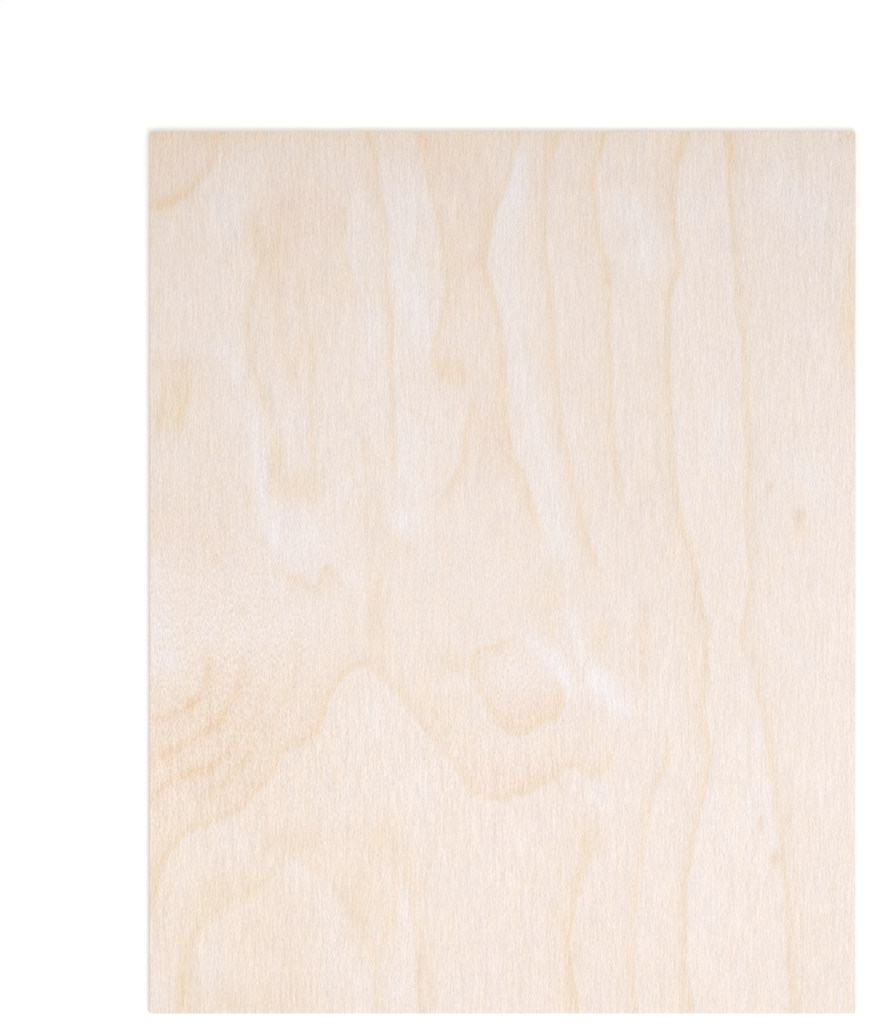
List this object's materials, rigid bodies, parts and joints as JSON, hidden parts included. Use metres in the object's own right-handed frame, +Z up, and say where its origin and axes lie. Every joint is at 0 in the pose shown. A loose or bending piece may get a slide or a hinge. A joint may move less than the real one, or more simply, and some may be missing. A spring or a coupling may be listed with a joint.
{
  "type": "plywood sheet",
  "caption": "Thin flat rectangular panel of pale plywood, sanded on both faces and sawn square, with the cross-laid veneers showing on its edges.",
  "frame": {"origin": "centre of the bottom face, on the surface that the sheet lies on", "axes": "+Z up through the thickness, +Y along the length and the grain of both faces, +X across the width"},
  "size_m": [0.2032, 0.254, 0.003],
  "materials": {
    "sanded_veneer": "sanded, unfinished"
  },
  "bodies": {
    "root": {"plywood_sheet": "sanded_veneer"}
  },
  "joints": []
}
